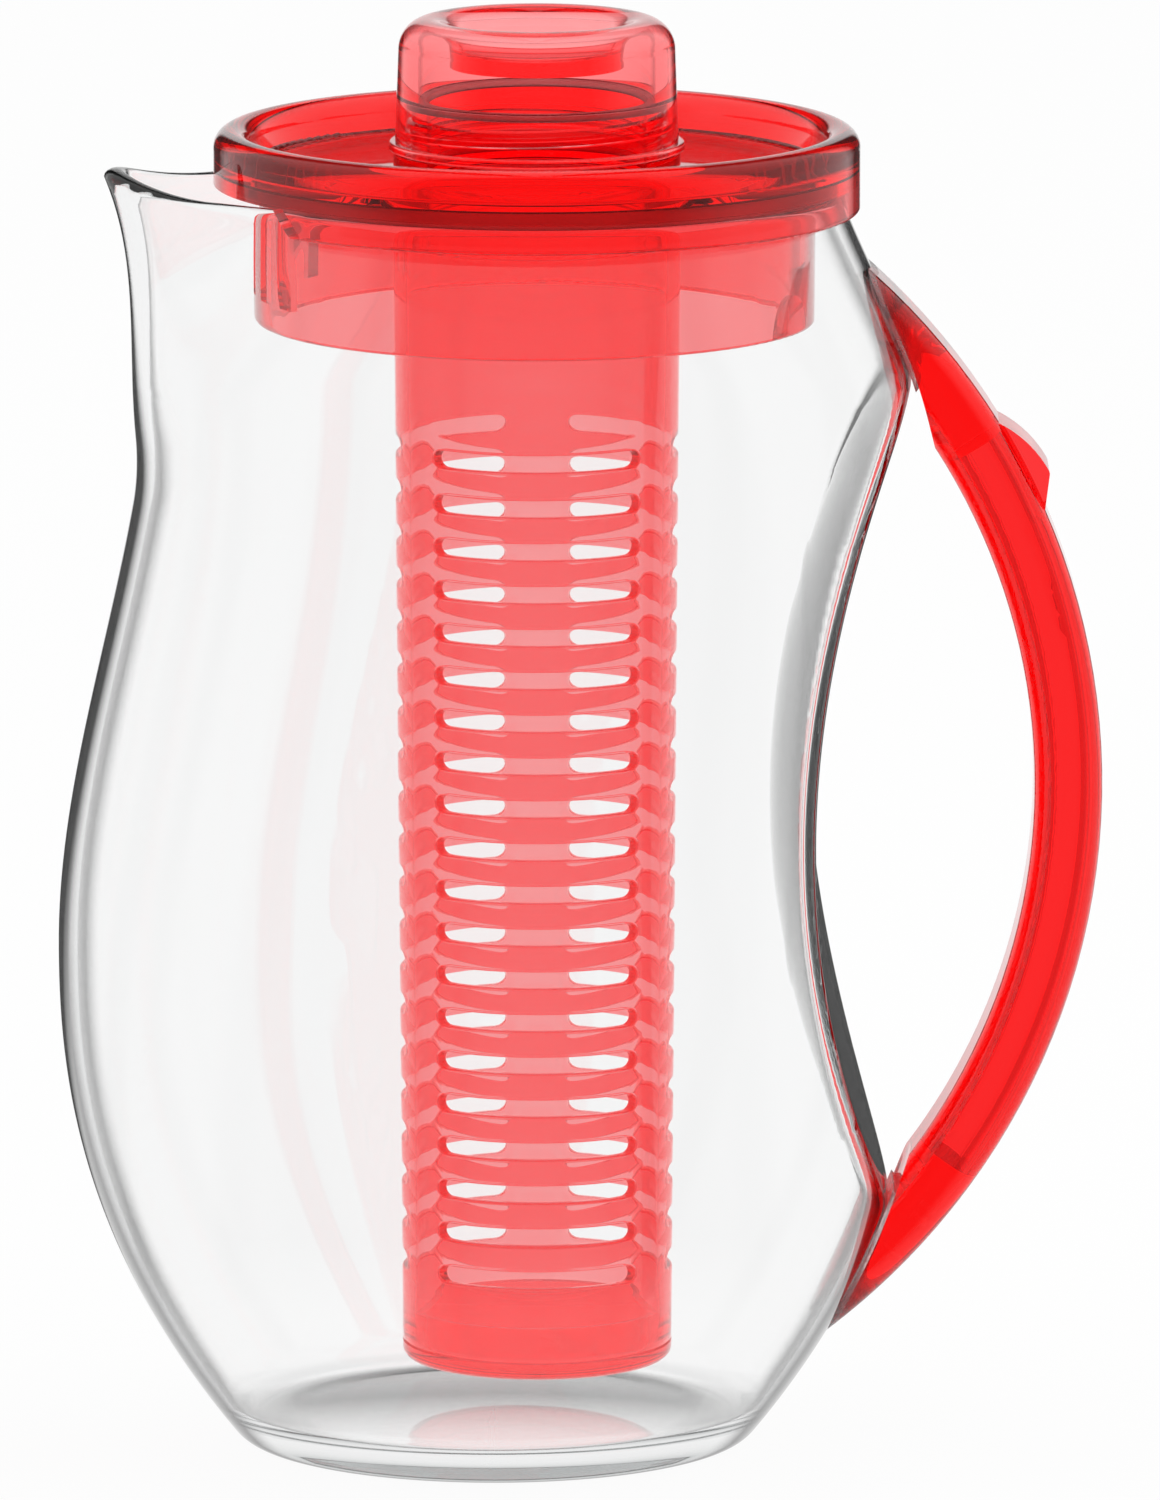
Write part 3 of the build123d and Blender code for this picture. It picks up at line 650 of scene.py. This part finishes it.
def slotted_tube_tree():
    """Repeats the flat slot up its column, repeats the column, and bends the sheet round into a tube."""
    tree = bpy.data.node_groups.new("slotted_tube", "GeometryNodeTree")
    tree.interface.new_socket("Geometry", in_out="INPUT", socket_type="NodeSocketGeometry")
    for name in ("Slot Rows", "Slot Columns"):
        tree.interface.new_socket(name, in_out="INPUT", socket_type="NodeSocketInt")
    for name in (
        "Slot Pitch", "Top Height", "Foot Height", "Top Radius", "Foot Radius", "Wall", "Axis Offset",
    ):
        tree.interface.new_socket(name, in_out="INPUT", socket_type="NodeSocketFloat")
    tree.interface.new_socket("Finish", in_out="INPUT", socket_type="NodeSocketMaterial")
    tree.interface.new_socket("Geometry", in_out="OUTPUT", socket_type="NodeSocketGeometry")
    nodes, links = tree.nodes, tree.links
    sizes = nodes.new("NodeGroupInput")
    result = nodes.new("NodeGroupOutput")

    def repeat(shape, count, offset):
        """Copies of a shape in a row."""
        line = nodes.new("GeometryNodeMeshLine")
        line.mode = "OFFSET"
        links.new(count, line.inputs["Count"])
        links.new(offset, line.inputs["Offset"])
        copies = nodes.new("GeometryNodeInstanceOnPoints")
        links.new(line.outputs["Mesh"], copies.inputs["Points"])
        links.new(shape, copies.inputs["Instance"])
        solid = nodes.new("GeometryNodeRealizeInstances")
        links.new(copies.outputs["Instances"], solid.inputs["Geometry"])
        return solid.outputs["Geometry"]

    mark = nodes.new("GeometryNodeInputNamedAttribute")
    mark.data_type = "BOOLEAN"
    mark.inputs["Name"].default_value = "plain_band"
    part = nodes.new("GeometryNodeSeparateGeometry")
    part.domain = "POINT"
    links.new(sizes.outputs["Geometry"], part.inputs["Geometry"])
    links.new(mark.outputs["Attribute"], part.inputs["Selection"])
    up = nodes.new("ShaderNodeCombineXYZ")
    links.new(sizes.outputs["Slot Pitch"], up.inputs["Z"])
    column = repeat(part.outputs["Inverted"], sizes.outputs["Slot Rows"], up.outputs["Vector"])
    whole = nodes.new("GeometryNodeJoinGeometry")
    links.new(column, whole.inputs["Geometry"])
    links.new(part.outputs["Selection"], whole.inputs["Geometry"])
    sideways = nodes.new("ShaderNodeCombineXYZ")
    sideways.inputs["X"].default_value = 1.0
    sheet = repeat(whole.outputs["Geometry"], sizes.outputs["Slot Columns"], sideways.outputs["Vector"])

    place = nodes.new("GeometryNodeInputPosition")
    flat = nodes.new("ShaderNodeSeparateXYZ")
    links.new(place.outputs["Position"], flat.inputs["Vector"])
    full = number_node(tree, "DIVIDE", flat.outputs["X"], sizes.outputs["Slot Columns"])
    turn = number_node(tree, "MULTIPLY_ADD", full, 2 * pi, -pi / 2)
    rise = number_node(tree, "SUBTRACT", flat.outputs["Z"], sizes.outputs["Foot Height"])
    height = number_node(tree, "SUBTRACT", sizes.outputs["Top Height"], sizes.outputs["Foot Height"])
    share = number_node(tree, "DIVIDE", rise, height)
    taper = number_node(tree, "SUBTRACT", sizes.outputs["Top Radius"], sizes.outputs["Foot Radius"])
    outside = number_node(tree, "MULTIPLY_ADD", share, taper, sizes.outputs["Foot Radius"])
    inwards = number_node(tree, "SUBTRACT", flat.outputs["Y"], 1.0)
    radius = number_node(tree, "MULTIPLY_ADD", inwards, sizes.outputs["Wall"], outside)
    cosine = number_node(tree, "COSINE", turn)
    along = number_node(tree, "MULTIPLY_ADD", cosine, radius, sizes.outputs["Axis Offset"])
    aside = number_node(tree, "MULTIPLY", number_node(tree, "SINE", turn), radius)
    spot = nodes.new("ShaderNodeCombineXYZ")
    links.new(along, spot.inputs["X"])
    links.new(aside, spot.inputs["Y"])
    links.new(flat.outputs["Z"], spot.inputs["Z"])
    bend = nodes.new("GeometryNodeSetPosition")
    links.new(sheet, bend.inputs["Geometry"])
    links.new(spot.outputs["Vector"], bend.inputs["Position"])
    weld = nodes.new("GeometryNodeMergeByDistance")
    weld.inputs["Distance"].default_value = 0.00002
    links.new(bend.outputs["Geometry"], weld.inputs["Geometry"])
    solid = nodes.new("GeometryNodeRealizeInstances")
    links.new(weld.outputs["Geometry"], solid.inputs["Geometry"])
    finish = nodes.new("GeometryNodeSetMaterial")
    links.new(solid.outputs["Geometry"], finish.inputs["Geometry"])
    links.new(sizes.outputs["Finish"], finish.inputs["Material"])
    links.new(finish.outputs["Geometry"], result.inputs["Geometry"])
    return tree


tube_red = clear_plastic(
    "tube_red", index=red_index, inside=red_inside, density=520.0, shade=red_shade, glow=0.008, edge=1.0,
    skin_values={"Wave Scale": 40.0, "Wave Height": 0.00003, "Haze": 0.0, "Haze Spread": 0.03},
)


def grown_mesh(name, flat_mesh, tree, values):
    """The plain mesh that a tree makes of a flat one, with its inputs set by name."""
    maker = bpy.data.objects.new(name + "_maker", flat_mesh)
    bpy.context.scene.collection.objects.link(maker)
    step = maker.modifiers.new("tree", "NODES")
    step.node_group = tree
    for item in tree.interface.items_tree:
        if item.in_out == "INPUT" and item.name in values:
            step[item.identifier] = values[item.name]
    ready = maker.evaluated_get(bpy.context.evaluated_depsgraph_get())
    mesh = bpy.data.meshes.new_from_object(ready)
    mesh.name = name
    bpy.data.objects.remove(maker)
    return mesh


tube_mesh = grown_mesh(
    "slotted_tube", flat_wall, slotted_tube_tree(),
    {
        "Slot Rows": slot_rows, "Slot Columns": slot_columns, "Slot Pitch": slot_pitch * mm,
        "Top Height": tube_top * mm, "Foot Height": tube_bottom * mm, "Top Radius": tube_radius * mm,
        "Foot Radius": tube_foot_radius * mm, "Wall": tube_wall * mm, "Axis Offset": mouth_offset * mm,
        "Finish": tube_red,
    },
)
tube_bore = tube_radius - tube_wall
for vert in tube_mesh.vertices:
    along, aside, height = vert.co.x / mm - mouth_offset, vert.co.y / mm, vert.co.z / mm
    reach = hypot(along, aside)
    if reach < tube_bore + 0.2 and thread_rows[0] < height < tube_top - 2 * tube_edge:
        crest = thread_start + thread_pitch * (degrees(atan2(aside, along)) % 360) / 360
        flank = (thread_base / 2 - abs(height - crest)) / ((thread_base - thread_crest) / 2)
        inset = thread_ridge * min(max(flank, 0.0), 1.0)
        share = (reach - inset) / reach
        vert.co.x = (mouth_offset + along * share) * mm
        vert.co.y = aside * share * mm
outward = bmesh.new()
outward.from_mesh(tube_mesh)
bmesh.ops.recalc_face_normals(outward, faces=outward.faces)
outward.to_mesh(tube_mesh)
outward.free()
tube_mesh.attributes.remove(tube_mesh.attributes["plain_band"])
tube_mesh.shade_smooth()
tube_piece = bpy.data.objects.new("slotted_tube", tube_mesh)
bpy.context.scene.collection.objects.link(tube_piece)
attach(tube_piece, "infuser")
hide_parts("infuser_tube")

# The tube's washer is a soft silicone ring between the tube's top and the underside of the lid.
finish_node("infuser_washer", silicone)

# The tube's base is a rounded red disc with a plug wall, bonded inside the tube's foot.
finish_node("infuser_base", tube_red)

# The table is a plain pale sheet under soft studio light, an even white for the camera. For rays that pass
# through the object or glance off it, the world and the table's own glow are painted by direction with pale
# grey bands, and with dark ones that only reflections see, as if cards stood well away from the object; on
# the table these are painted shade and painted reflections.
scene = bpy.context.scene
scene.view_settings.view_transform = "Standard"
scene.cycles.max_bounces = 40
scene.cycles.transmission_bounces = 40
scene.cycles.transparent_max_bounces = 24
scene.cycles.glossy_bounces = 40
scene.cycles.diffuse_bounces = 2
scene.cycles.caustics_reflective = False
scene.cycles.caustics_refractive = False


def blend_node(tree, factor, first, second):
    """The first level where the factor is 0, the second where it is 1."""
    node = tree.nodes.new("ShaderNodeMix")
    node.data_type = "FLOAT"
    for socket, value in (("Factor", factor), ("A", first), ("B", second)):
        if isinstance(value, float):
            node.inputs[socket].default_value = value
        else:
            tree.links.new(value, node.inputs[socket])
    return node.outputs["Result"]


def studio_cards():
    """How bright the studio is in a direction, for rays that pass through the object or glance off it."""
    group = bpy.data.node_groups.new("studio_cards", "ShaderNodeTree")
    group.interface.new_socket("Direction", in_out="INPUT", socket_type="NodeSocketVector")
    group.interface.new_socket("Mirrored", in_out="INPUT", socket_type="NodeSocketFloat")
    group.interface.new_socket("Level", in_out="OUTPUT", socket_type="NodeSocketFloat")
    nodes, links = group.nodes, group.links
    given = nodes.new("NodeGroupInput")
    result = nodes.new("NodeGroupOutput")
    split = nodes.new("ShaderNodeSeparateXYZ")
    links.new(given.outputs["Direction"], split.inputs["Vector"])

    def shades(stops):
        """Brightness against the angle from straight behind the object, in degrees."""
        ramp = nodes.new("ShaderNodeValToRGB")
        marks = ramp.color_ramp.elements
        for stop, level in stops:
            mark = marks[0] if stop == 0 else marks[-1] if stop == 180 else marks.new(stop / 180)
            mark.color = (level, level, level, 1.0)
        links.new(share, ramp.inputs["Fac"])
        return ramp.outputs["Color"]

    aside = number_node(group, "ABSOLUTE", split.outputs["X"])
    angle = number_node(group, "ARCTAN2", aside, split.outputs["Y"])
    share = number_node(group, "DIVIDE", angle, pi)
    through = shades(
        (
            (0, 1.0), (58, 1.0), (63, 0.75), (69, 0.75), (74, 1.0),
            (106, 1.0), (111, 0.75), (117, 0.75), (122, 1.0), (180, 1.0),
        )
    )
    mirror = shades(
        (
            (0, 1.0), (10, 1.0), (13, 0.04), (26, 0.04), (36, 1.0),
            (105, 0.95), (135, 0.25), (180, 0.25),
        )
    )
    level = blend_node(group, given.outputs["Mirrored"], through, mirror)
    links.new(level, result.inputs["Level"])
    return group


cards = studio_cards()
table = bpy.data.meshes.new("table")
table_half = 8.0
corners = [(x * table_half, y * table_half, 0) for x, y in ((-1, -1), (1, -1), (1, 1), (-1, 1))]
table.from_pydata(corners, [], [(0, 1, 2, 3)])
table_top = bpy.data.objects.new("table_top", table)
scene.collection.objects.link(table_top)
table_paint = bpy.data.materials.new("table_paint")
table_paint.use_nodes = True
tree = table_paint.node_tree
nodes, links = tree.nodes, tree.links
paint = nodes["Principled BSDF"]
paint.inputs["Base Color"].default_value = (0.9, 0.9, 0.9, 1.0)
paint.inputs["Roughness"].default_value = 0.6
paint.inputs["Specular IOR Level"].default_value = 0.2
place = nodes.new("ShaderNodeTexCoord")
# Beyond the object, where the camera doesn't see it straight, the table's glow takes the card levels:
# painted shade and painted reflections on the table.
around = nodes.new("ShaderNodeGroup")
around.node_tree = cards
links.new(place.outputs["Object"], around.inputs["Direction"])
distance_out = nodes.new("ShaderNodeVectorMath")
distance_out.operation = "LENGTH"
links.new(place.outputs["Object"], distance_out.inputs[0])
near = nodes.new("ShaderNodeMapRange")
near.inputs["From Min"].default_value = 0.085
near.inputs["From Max"].default_value = 0.12
links.new(distance_out.outputs["Value"], near.inputs["Value"])
path = nodes.new("ShaderNodeLightPath")
links.new(path.outputs["Is Reflection Ray"], around.inputs["Mirrored"])
camera_ray = path.outputs["Is Camera Ray"]
unseen = number_node(tree, "SUBTRACT", 1.0, camera_ray)
painted_card_share = number_node(tree, "MULTIPLY", near.outputs["Result"], unseen)
glow = nodes.new("ShaderNodeEmission")
glow.inputs["Color"].default_value = (1.0, 1.0, 1.0, 1.0)
links.new(blend_node(tree, painted_card_share, 1.0, around.outputs["Level"]), glow.inputs["Strength"])
seen = number_node(tree, "MAXIMUM", camera_ray, path.outputs["Is Transmission Ray"])
seen_too = number_node(tree, "MAXIMUM", seen, path.outputs["Is Glossy Ray"])
glow_share = 0.95
mix = nodes.new("ShaderNodeMixShader")
links.new(number_node(tree, "MULTIPLY", seen_too, glow_share), mix.inputs["Fac"])
links.new(paint.outputs["BSDF"], mix.inputs[1])
links.new(glow.outputs["Emission"], mix.inputs[2])
links.new(mix.outputs["Shader"], nodes["Material Output"].inputs["Surface"])
table.materials.append(table_paint)

world = bpy.data.worlds.new("studio")
scene.world = world
world.use_nodes = True
nodes, links = world.node_tree.nodes, world.node_tree.links
sky = nodes["Background"]
way = nodes.new("ShaderNodeTexCoord")
around = nodes.new("ShaderNodeGroup")
around.node_tree = cards
links.new(way.outputs["Generated"], around.inputs["Direction"])
path = nodes.new("ShaderNodeLightPath")
links.new(path.outputs["Is Reflection Ray"], around.inputs["Mirrored"])
level = blend_node(world.node_tree, path.outputs["Is Camera Ray"], around.outputs["Level"], 1.0)
sky.inputs["Color"].default_value = (1.0, 1.0, 1.0, 1.0)
links.new(level, sky.inputs["Strength"])


def soft_box(name, place, aim, width, height, power):
    """A soft lamp that faces a point and isn't seen itself."""
    lamp = bpy.data.lights.new(name, "AREA")
    lamp.shape = "RECTANGLE"
    lamp.size = width
    lamp.size_y = height
    lamp.energy = power
    box = bpy.data.objects.new(name, lamp)
    box.location = place
    box.rotation_euler = (Vector(aim) - Vector(place)).to_track_quat("-Z", "Y").to_euler()
    box.visible_camera = False
    box.visible_transmission = False
    box.visible_glossy = False
    scene.collection.objects.link(box)


soft_box("right_box", place=(1.46, 0.35, 0.9), aim=(0.01, 0, 0.15), width=0.6, height=0.9, power=11.0)
soft_box("top_box", place=(0.0, -0.2, 1.9), aim=(0.01, 0, 0.1), width=1.4, height=1.4, power=7.0)

# The camera stands a long way off, a little above the lid, square to the side of the handle.
elevation = radians(9.9)
distance = 3.4
aim = Vector((0.0151, 0.0, 0.1233))
lens = bpy.data.cameras.new("camera")
lens.sensor_fit = "VERTICAL"
lens.sensor_height = 36.0
frame_height = 1500.0 / 5650.0
lens.lens = lens.sensor_height * distance / frame_height
lens.clip_end = 100.0
camera = bpy.data.objects.new("camera", lens)
camera.location = aim + distance * Vector((0.0, -cos(elevation), sin(elevation)))
camera.rotation_euler = (pi / 2 - elevation, 0.0, 0.0)
scene.collection.objects.link(camera)
scene.camera = camera
